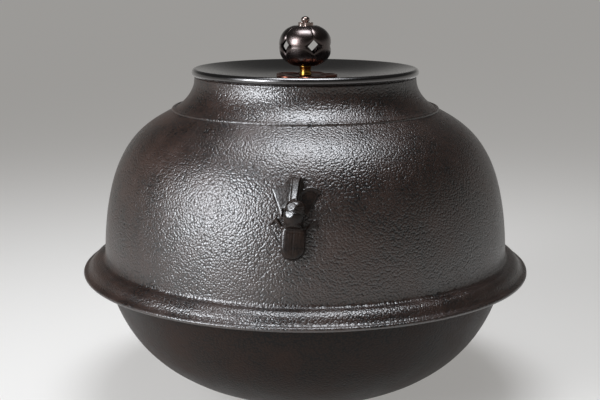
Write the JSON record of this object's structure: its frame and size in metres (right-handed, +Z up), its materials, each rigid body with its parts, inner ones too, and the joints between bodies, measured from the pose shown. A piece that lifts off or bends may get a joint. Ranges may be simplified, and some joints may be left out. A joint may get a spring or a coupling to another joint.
{
  "type": "tea kettle",
  "caption": "Round cast-iron tea kettle with a waist flange, insect-shaped ring lugs and a lift-off dished bronze lid with an openwork ball knob.",
  "frame": {"origin": "centre of the foot, on the surface that the kettle stands on", "axes": "+Z up along the kettle's axis, -Y towards the front lug, +X to the right seen from the front"},
  "size_m": [0.26, 0.26, 0.2205],
  "materials": {
    "iron": "granular brown-black cast skin",
    "lid_bronze": "dark grey-black patinated bronze, satin",
    "knob_bronze": "polished dark brown bronze",
    "seat_copper": "reddish patinated copper",
    "stem_brass": "polished brass",
    "finial_copper": "polished pale copper alloy"
  },
  "bodies": {
    "kettle": {"kettle_body": "iron", "lug_front": "iron", "lug_back": "iron", "singing_plate_1": "iron", "singing_plate_2": "iron", "singing_plate_3": "iron", "singing_plate_4": "iron", "singing_plate_5": "iron"},
    "lid": {"lid_plate": "lid_bronze", "knob_seat": "seat_copper", "knob_stem": "stem_brass", "knob_shell": "knob_bronze", "knob_calyx": "finial_copper", "knob_pin": "finial_copper", "under_washer": "stem_brass"}
  },
  "joints": [
    {"name": "lid_lift", "type": "slide", "parent": "kettle", "child": "lid", "axis": [0, 0, 1], "range_m": [0, 0.12]}
  ]
}
